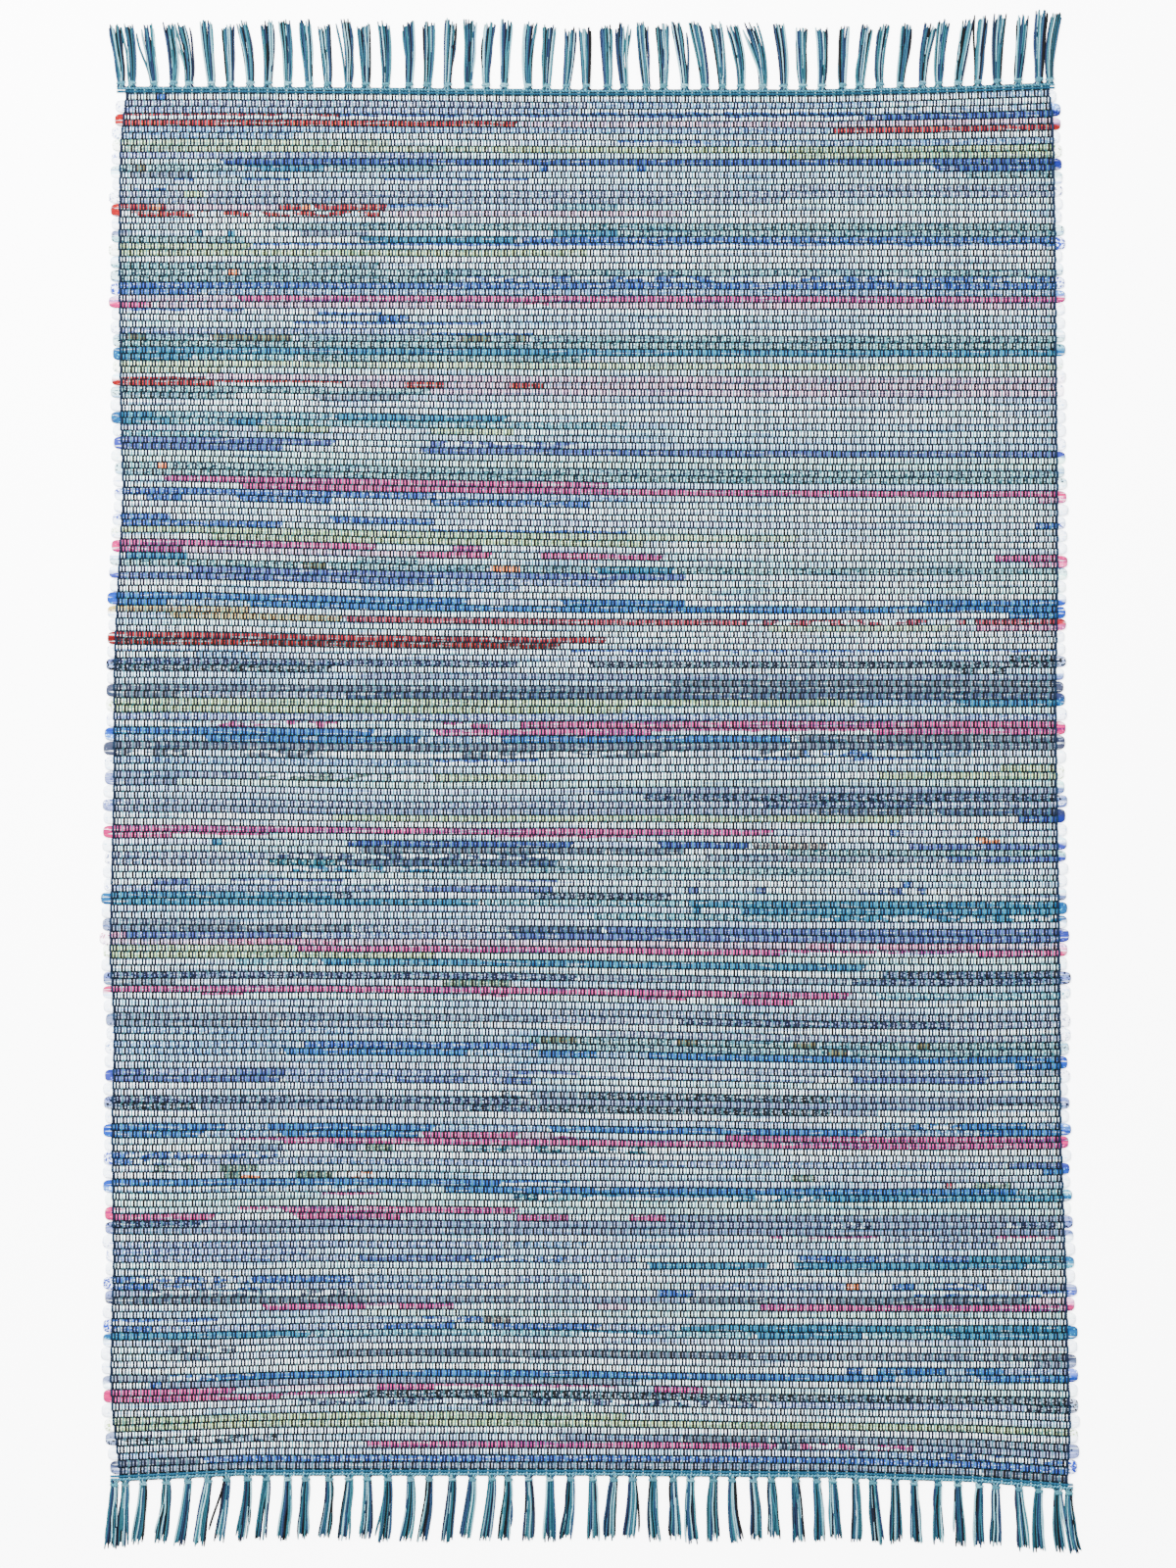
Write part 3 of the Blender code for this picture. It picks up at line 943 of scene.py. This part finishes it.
def add_warp(pile, line, rng, number, total, colour, width):
    """One flat yarn; number of total is its place in the baked map."""
    nodes = line.shape[0]
    knots = np.arange(0, nodes + WANDER_NODES, WANDER_NODES)
    wander = np.interp(np.arange(nodes), knots, rng.uniform(-1, 1, len(knots)))
    x = line[:, 0] + wander * YARN_WANDER
    half = 0.5 * width
    points = np.zeros((nodes, 2, 3))
    points[:, 0, 0] = x - half
    points[:, 1, 0] = x + half
    points[:, :, 1] = line[:, 1][:, None]
    points[:, :, 2] = line[:, 2][:, None]
    along = lengths_along(points[:, 0])
    start, end = number / total, (number + 1) / total
    bake, weave = blank_maps(nodes, 2)
    bake[:, 0, 0] = start + 0.12 * (end - start)
    bake[:, 1, 0] = start + 0.88 * (end - start)
    bake[:, :, 1] = 0.002 + 0.996 * (along / along[-1])[:, None]
    weave[:, 1, 0] = 1.0
    weave[:, :, 1] = along[:, None]
    tint = shaded(colour, WARP_VARIATION, rng)
    pile.add_grid(points, bake, weave, {"yarn": tint}, flip=True)


def weave_warps(material):
    """Six pieces, one for each colour of the repeat, and the doubled yarns at the edges."""
    rng = np.random.default_rng(17)
    shares = 2 * (np.arange(WARPS) + 0.5) / WARPS - 1
    pieces = []
    sheds = [warp_lines(shares[shed::2], shed) for shed in (0, 1)]
    for k, (name, code, width) in enumerate(WARP_REPEAT):
        pile = Pile()
        members = range(k, WARPS, len(WARP_REPEAT))
        for number, warp in enumerate(members):
            line = sheds[warp % 2][:, :, warp // 2]
            add_warp(pile, line, rng, number, len(members), srgb(code), width)
        pieces.append(pile.make("warp_" + name, material))
    pile = Pile()
    edges = [(side, *yarn) for side in (-1.0, 1.0) for yarn in EDGE_YARNS]
    for number, (side, shed, shift, code) in enumerate(edges):
        line = warp_lines(np.array([side]), shed)[:, :, 0].copy()
        line[:, 0] += side * shift
        line[:, 2] += EDGE_YARN_LIFT
        add_warp(pile, line, rng, number, len(edges), srgb(code), EDGE_YARN_WIDTH)
    pieces.append(pile.make("warp_edges", material))
    return pieces


def lengths_along(path):
    steps = np.linalg.norm(np.diff(path, axis=0), axis=1)
    return np.concatenate([[0.0], np.cumsum(steps)])


def tube_points(path, radius, sides, squash=1.0):
    """Rings round a path of points in the x-y plane; squash flattens them."""
    path = np.asarray(path, dtype=float)
    run = np.gradient(path, axis=0)
    run /= np.linalg.norm(run, axis=1)[:, None] + 1e-12
    up = np.array([0.0, 0.0, 1.0])
    across_run = np.cross(run, up)
    size = np.linalg.norm(across_run, axis=1)[:, None]
    across_run = np.where(size > TINY, across_run / (size + 1e-12), [1.0, 0.0, 0.0])
    normal = np.cross(across_run, run)
    angles = 2 * math.pi * np.arange(sides) / sides + 0.5 * math.pi
    ring = (
        np.cos(angles)[None, :, None] * across_run[:, None, :]
        + squash * np.sin(angles)[None, :, None] * normal[:, None, :]
    )
    radius = np.broadcast_to(np.asarray(radius, dtype=float), (len(path),))
    return path[:, None, :] + radius[:, None, None] * ring


def map_slots(columns, rows):
    """Hands out equal rectangles of the baked map as (corner, size)."""
    size = np.array([0.94 / columns, 0.9 / rows])
    for row in range(rows):
        for column in range(columns):
            yield np.array([column / columns, row / rows]) + 0.03 * size, size


def add_tube(pile, path, radius, sides, slots, colours, squash=1.0):
    """A yarn or a bundle along a path; colours has one colour per side, or one in all."""
    points = tube_points(path, radius, sides, squash)
    low, size = next(slots)
    along = lengths_along(path)
    bake, weave = blank_maps(len(points), sides + 1)
    bake[:, :, 0] = low[0] + size[0] * np.linspace(0, 1, sides + 1)[None, :]
    bake[:, :, 1] = low[1] + size[1] * (along / along[-1])[:, None]
    weave[:, :, 0] = np.linspace(0, 2, sides + 1)[None, :]
    weave[:, :, 1] = along[:, None]
    pile.add_grid(points, bake, weave, {"yarn": colours}, closed=True)


def end_line(x, north):
    """End of the cloth at x."""
    y = GROOVES[0 if north else WEFTS]
    left, right = edges_at(y)
    share = 2 * (x - left) / (right - left) - 1
    return y + between(END_STATIONS, share, 1 if north else 2)


def tassel_plan(north, rng):
    """Rows of knot x, tip x, length and bend, left to right, with the solids' draws."""
    left, right = edges_at(GROOVES[0 if north else WEFTS])
    left = left + KNOTS_FROM_LEFT
    right = right - KNOTS_FROM_RIGHT
    regular = TASSELS - 2
    step = (right - left) / (regular - 1)
    knots = []
    for k in range(regular):
        shift = rng.uniform(-1, 1) * KNOT_JITTER
        if k in (0, regular - 1):
            shift = 0.0
        knots.append(left + k * step + shift)
    knots = [left - CORNER_STEP] + knots + [right + CORNER_STEP]
    trend = NORTH_TREND if north else SOUTH_TREND
    plan = []
    for x in knots:
        share = 2 * (x - left) / (right - left) - 1
        lean = between(trend, share, 1) + rng.uniform(-1, 1) * LEAN_JITTER
        length = between(trend, share, 2) + rng.uniform(-1, 1) * LENGTH_JITTER
        tip = x + lean
        if plan:
            tip = max(tip, plan[-1][1] + TIP_STEP)
        plan.append((x, tip, length, rng.uniform(-1, 1) * BEND_JITTER))
    return plan


def make_heading(name, north, plan, material):
    """Two rows of paired yarns that twist round the warp ends."""
    pile = Pile()
    slots = map_slots(1, len(TWINE_ROWS) * 2 * TWINE_PARTS)
    out = 1 if north else -1
    x_first = plan[0][0] - HEADING_PAST
    x_last = plan[-1][0] + HEADING_PAST
    step = TWINE_TURN / 4
    rng = random.Random(3)
    for row, (depth, codes) in enumerate(zip(TWINE_ROWS, TWINE_COLOURS)):
        for half, code in enumerate(codes):
            edges = np.linspace(x_first, x_last, TWINE_PARTS + 1)
            for start, end in zip(edges, edges[1:]):
                x = np.arange(start, end + step, step)
                angle = 2 * math.pi * (x - x_first) / TWINE_TURN + math.pi * half + row
                y = end_line(x, north) + out * (depth + TWINE_SWAY * np.cos(angle))
                z = TWINE_HEIGHT + TWINE_RISE * np.sin(angle)
                tint = shaded(srgb(code), TWINE_VARIATION, rng)
                path = np.stack([x, y, z], axis=-1)
                add_tube(pile, path, TWINE_RADIUS, 3, slots, tint)
    return pile.make(name, material)


def knot_colour(colour):
    """A knot catches more light than the yarns below it."""
    return [0.5 * (c + k) for c, k in zip(colour, KNOT_LIGHT)]


def knot_path(x, base, out, draw):
    """A little over one and a half turns of the bundle round itself."""
    turn = draw.choice((-1, 1))
    t = np.linspace(0, 1, KNOT_STEPS)
    angle = turn * KNOT_TURN * math.pi * t + draw.uniform(0, 1.5)
    wide = KNOT_REACH + 0.0006 * draw.uniform(-1, 1)
    swell = np.sin(math.pi * t) ** 0.4
    return np.stack(
        [
            x + wide * np.cos(angle) * swell,
            base + out * (0.0026 + 0.0046 * t),
            0.0034 + 0.0014 * np.sin(angle) * swell,
        ],
        axis=-1,
    )


def tassel_path(knot, tip, base, out, length, bend, spread, draw):
    """A yarn from the heading through the knot to its tip on the floor."""
    own = length * (1 + 0.05 * draw.uniform(-1, 1)) + TIP_FUZZ - HEADING_DEPTH
    t = np.linspace(0, 1, TASSEL_STEPS)
    lie = t ** 1.5 * (tip - knot) + bend * np.sin(math.pi * t)
    fan = spread * (TASSEL_HALF_WIDTH + TASSEL_FAN * t ** 0.8)
    ripple = RIPPLE * draw.uniform(-1, 1) * np.sin(math.pi * t * draw.uniform(1.5, 3.5))
    if draw.random() < STRAY_SHARE:
        stray = draw.uniform(-1, 1) * STRAY_REACH * np.sin(0.5 * math.pi * t) ** 2
        ripple = ripple + stray
        own *= draw.uniform(0.82, 1.02)
    x = knot + lie + fan + ripple
    y = base + out * (KNOT_DEPTH + t * (own - KNOT_DEPTH))
    z = 0.0009 + draw.uniform(0.0, 0.0024) * (1 - 0.6 * t) + 0.0008 * (1 - t)
    root = (
        (knot + spread * 0.0062, base - out * 0.001, 0.0019),
        (knot + spread * 0.0034, base + out * 0.0028, 0.0030),
    )
    return np.concatenate([np.array(root), np.stack([x, y, z], axis=-1)])


def make_fringe(name, north, plan, material):
    """Knotted bundles of warp ends, each yarn on its own below the knot."""
    draw = random.Random(41 if north else 43)
    knots = Pile()
    yarns = Pile()
    knot_slots = map_slots(7, 7)
    yarn_slots = map_slots(84, 7)
    out = 1 if north else -1
    for knot, tip, length, bend in plan:
        base = float(end_line(knot, north)) + out * (GAP + HEADING_DEPTH)
        shades = [srgb(code) for code in TASSEL_SHADES]
        draw.shuffle(shades)
        ring = np.array([[[*knot_colour(shades[k]), 1.0] for k in range(6)]])
        path = knot_path(knot, base, out, draw)
        add_tube(knots, path, KNOT_RADIUS, 6, knot_slots, ring, squash=0.9)
        for k in range(YARNS_PER_TASSEL):
            spread = 2 * (k + 0.5) / YARNS_PER_TASSEL - 1 + 0.12 * draw.uniform(-1, 1)
            path = tassel_path(knot, tip, base, out, length, bend, spread, draw)
            tint = shaded(shades[k], TASSEL_VARIATION, draw)
            radius = np.full(len(path), TASSEL_YARN)
            radius[-1] *= TIP_SHARE
            add_tube(yarns, path, radius, 3, yarn_slots, tint)
    return knots.make(name + "_knots", material), yarns.make(name + "_tassels", material)


class Wiring:
    """Short way to add shader nodes and to link them."""

    def __init__(self, name, roughness):
        self.material = bpy.data.materials.new(name)
        self.material.use_nodes = True
        self.tree = self.material.node_tree
        self.shader = self.tree.nodes["Principled BSDF"]
        self.shader.inputs["Roughness"].default_value = roughness
        self.shader.inputs["Specular IOR Level"].default_value = 0.12

    def put(self, socket, value):
        if isinstance(value, bpy.types.NodeSocket):
            self.tree.links.new(value, socket)
        else:
            socket.default_value = value

    def node(self, kind, **settings):
        node = self.tree.nodes.new(kind)
        for key, value in settings.items():
            setattr(node, key, value)
        return node

    def place(self):
        return self.node("ShaderNodeTexCoord").outputs["Object"]

    def math(self, operation, *values):
        node = self.node("ShaderNodeMath", operation=operation)
        for socket, value in zip(node.inputs, values):
            self.put(socket, value)
        return node.outputs[0]

    def mix(self, factor, first, second, blend="MIX"):
        node = self.node("ShaderNodeMix", data_type="RGBA", blend_type=blend)
        for k, value in ((0, factor), (6, first), (7, second)):
            self.put(node.inputs[k], value)
        return node.outputs[2]

    def attribute(self, name):
        return self.node("ShaderNodeAttribute", attribute_name=name)

    def noise(self, vector, scale, detail=2.0):
        node = self.node("ShaderNodeTexNoise")
        for key, value in (("Vector", vector), ("Scale", scale), ("Detail", detail)):
            self.put(node.inputs[key], value)
        return node.outputs[0]

    def moved(self, operation, vector, other):
        """The vector with a constant one added or multiplied."""
        node = self.node("ShaderNodeVectorMath", operation=operation)
        self.put(node.inputs[0], vector)
        node.inputs[1].default_value = other
        return node.outputs[0]

    def stretched(self, vector, name):
        return self.moved("MULTIPLY", vector, (*STRETCHES[name], 1.0))

    def streaks(self, vector, name, detail=2.0):
        """Noise stretched as STRETCHES says."""
        return self.noise(self.stretched(vector, name), 1.0, detail)

    def weave_map(self):
        node = self.node("ShaderNodeSeparateXYZ")
        self.put(node.inputs[0], self.node("ShaderNodeUVMap", uv_map="weave").outputs[0])
        return node.outputs

    def steps(self, value, low, high, to_low=0.0, to_high=1.0):
        node = self.node("ShaderNodeMapRange", clamp=True)
        for key, number in zip(("Value", "From Min", "From Max", "To Min", "To Max"),
                               (value, low, high, to_low, to_high)):
            self.put(node.inputs[key], number)
        return node.outputs[0]

    def finish(self, colour, light, height, relief):
        """Shades the colour and adds a bump of the given relief in metres."""
        shade = self.node("ShaderNodeCombineColor")
        for socket in shade.inputs:
            self.put(socket, light)
        lit = self.mix(1.0, colour, shade.outputs[0], "MULTIPLY")
        self.put(self.shader.inputs["Base Color"], lit)
        bump = self.node("ShaderNodeBump")
        bump.inputs["Strength"].default_value = BUMP_STRENGTH
        bump.inputs["Distance"].default_value = relief
        self.put(bump.inputs["Height"], height)
        self.put(self.shader.inputs["Normal"], bump.outputs[0])
        return self.material


def dyed_colour(w, place, weave, print_noise):
    """Strips and patches of the rag's colour on white, streaks, prints and worn bits."""
    rag = w.attribute("rag")
    fleck = w.attribute("fleck")
    trait = w.node("ShaderNodeSeparateColor")
    w.put(trait.inputs[0], w.attribute("trait").outputs["Color"])
    cover, side, patchy = trait.outputs[0], trait.outputs[1], trait.outputs[2]
    from_top = w.math("MULTIPLY", weave[1], w.math("SUBTRACT", 1.0, side))
    from_foot = w.math("MULTIPLY", w.math("SUBTRACT", 1.0, weave[1]), side)
    depth = w.math("ADD", from_top, from_foot)
    ragged = w.math("MULTIPLY_ADD", w.streaks(place, "strip", 3.0), 0.9, -0.45)
    rough_depth = w.math("ADD", depth, ragged)
    strip = w.steps(w.math("SUBTRACT", cover, rough_depth), -0.06, 0.06)
    patches = w.steps(w.streaks(place, "patch"), 0.46, 0.52)
    full = w.mix(patchy, strip, patches)
    ground = w.mix(w.steps(w.noise(place, 60.0), 0.3, 0.7), WHITE_LOW, WHITE_HIGH)
    colour = w.mix(full, ground, rag.outputs["Color"])
    for shift, tint, low in STREAKS:
        elsewhere = w.moved("ADD", place, (shift, shift, 0.0))
        streak = w.steps(w.streaks(elsewhere, "streak"), low, low + 0.05, 0.0, 0.75)
        colour = w.mix(streak, colour, w.mix(1.0, colour, tint, "MULTIPLY"))
    level = w.math("MULTIPLY_ADD", fleck.outputs["Alpha"], -0.42, 0.74)
    flecks = w.steps(w.math("SUBTRACT", print_noise, level), -0.015, 0.015)
    colour = w.mix(w.math("MULTIPLY", flecks, full), colour, fleck.outputs["Color"])
    worn = w.steps(w.streaks(place, "worn"), 0.60, 0.66, 0.0, 0.42)
    return w.mix(worn, colour, WHITE_LOW)


def rag_material():
    """Knitted and woven rags: strips of colour, prints, bumped soft pillows, and painted shade
    along folds, beside the warps and between rows.
    """
    w = Wiring("rag_cloth", 0.9)
    place = w.place()
    weave = w.weave_map()
    print_noise = w.noise(w.stretched(place, "print"), 310.0, 1.0)
    colour = dyed_colour(w, place, weave, print_noise)
    dye = w.steps(w.streaks(place, "dye"), 0.25, 0.75, 0.90, 1.08)
    knit = w.steps(w.streaks(place, "knit"), 0.3, 0.7, 0.94, 1.04)
    # Painted shade: the rags are darker beside the warps that lie over them.
    phase = w.math("FRACT", w.math("SUBTRACT", weave[0], 0.25))
    near_warp = w.math("MINIMUM", phase, w.math("SUBTRACT", 1.0, phase))
    painted_pillow_shade = w.steps(near_warp, 0.18, 0.40, PILLOW_SHADE, 1.0)
    # Painted shade in the grooves between rows, uneven along them and wider beside the warps.
    off_crest = w.math("ABSOLUTE", w.math("SUBTRACT", weave[1], 0.5))
    squeeze = w.math("MULTIPLY_ADD", w.streaks(place, "squeeze"), 0.22, -0.11)
    off_crest = w.math("ADD", off_crest, squeeze)
    off_crest = w.math("ADD", off_crest, w.steps(near_warp, 0.18, 0.40, 0.05, 0.0))
    groove = w.steps(off_crest, 0.30, 0.41, 1.0, GROOVE_SHADE)
    # Painted shade: thin dark lines along folds of the rags.
    fold = w.math("ABSOLUTE", w.math("SUBTRACT", w.streaks(place, "fold"), 0.5))
    fold = w.steps(fold, 0.0, 0.022, 0.86, 1.0)
    # light: dye and knit tone of the rags times the painted shade of pillows, folds and grooves.
    light = w.math("MULTIPLY", w.math("MULTIPLY", dye, knit), w.math("MULTIPLY", painted_pillow_shade, fold))
    light = w.math("MULTIPLY", light, groove)
    height = w.math("ADD", w.steps(near_warp, 0.05, 0.4), print_noise)
    return w.finish(colour, light, height, RAG_RELIEF)


def yarn_material(name):
    """Twisted two-ply yarn with fuzz and painted shade where the plies meet."""
    w = Wiring(name, 0.88)
    place = w.place()
    weave = w.weave_map()
    turns = w.math("MULTIPLY_ADD", weave[1], PLY_TURNS, weave[0])
    ply = w.math("ABSOLUTE", w.math("SUBTRACT", w.math("FRACT", turns), 0.5))
    # Painted shade: the yarn is darker in the groove between its two plies.
    dark = w.steps(ply, 0.0, 0.22, 0.62, 1.0)
    fuzz = w.steps(w.noise(place, 420.0), 0.3, 0.7, 0.85, 1.18)
    light = w.math("MULTIPLY", dark, fuzz)
    return w.finish(w.attribute("yarn").outputs["Color"], light, ply, YARN_RELIEF)


def floor_material():
    w = Wiring("pale_floor", 0.6)
    colour = w.mix(w.noise(w.place(), 3.0), FLOOR_LOW, FLOOR_HIGH)
    w.put(w.shader.inputs["Base Color"], colour)
    w.put(w.shader.inputs["Emission Color"], colour)
    w.shader.inputs["Emission Strength"].default_value = FLOOR_GLOW
    return w.material


def add_key_light():
    light = bpy.data.lights.new("key_light", "AREA")
    light.size = KEY_SIZE
    light.energy = KEY_POWER
    obj = add_object("key_light", light)
    obj.location = KEY_PLACE
    obj.rotation_euler = (-Vector(KEY_PLACE)).to_track_quat("-Z", "Y").to_euler()


def set_stage():
    """Pale floor, soft light from above and the camera straight over the rug."""
    mesh = bpy.data.meshes.new("floor")
    half = FLOOR_SIZE / 2
    corners = [(-half, -half, 0), (half, -half, 0), (half, half, 0), (-half, half, 0)]
    mesh.from_pydata(corners, [], [(0, 1, 2, 3)])
    mesh.materials.append(floor_material())
    add_object("floor", mesh)
    world = bpy.data.worlds.new("studio")
    world.use_nodes = True
    background = world.node_tree.nodes["Background"]
    background.inputs[0].default_value = SKY_COLOUR
    background.inputs[1].default_value = SKY_STRENGTH
    bpy.context.scene.world = world
    add_key_light()
    camera = bpy.data.cameras.new("camera")
    camera.sensor_fit = "HORIZONTAL"
    camera.sensor_width = 36.0
    camera.lens = camera.sensor_width * CAMERA_HEIGHT / VIEW_WIDTH
    camera.clip_end = 100.0
    obj = add_object("camera", camera)
    obj.location = (*VIEW_MIDDLE, CAMERA_HEIGHT)
    bpy.context.scene.camera = obj


def main():
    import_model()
    rags = rag_material()
    yarn = yarn_material("warp_yarn")
    pile = Pile()
    weave_rags(pile)
    cloth = pile.make("woven_rags", rags)
    pile = Pile()
    make_turns(pile)
    turns = pile.make("rag_turns", rags)
    warps = weave_warps(yarn)
    for piece in (cloth, turns, *warps):
        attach(piece, "root")
    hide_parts("rug_body")
    for side, north in (("north", True), ("south", False)):
        ends = yarn_material(side + "_yarn_ends")
        plan = tassel_plan(north, random.Random(23 if north else 37))
        heading = make_heading(side + "_heading", north, plan, ends)
        knots, tassels = make_fringe(side, north, plan, ends)
        for piece in (heading, knots, tassels):
            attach(piece, "root")
        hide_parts("fringe_" + side)
    set_stage()


main()
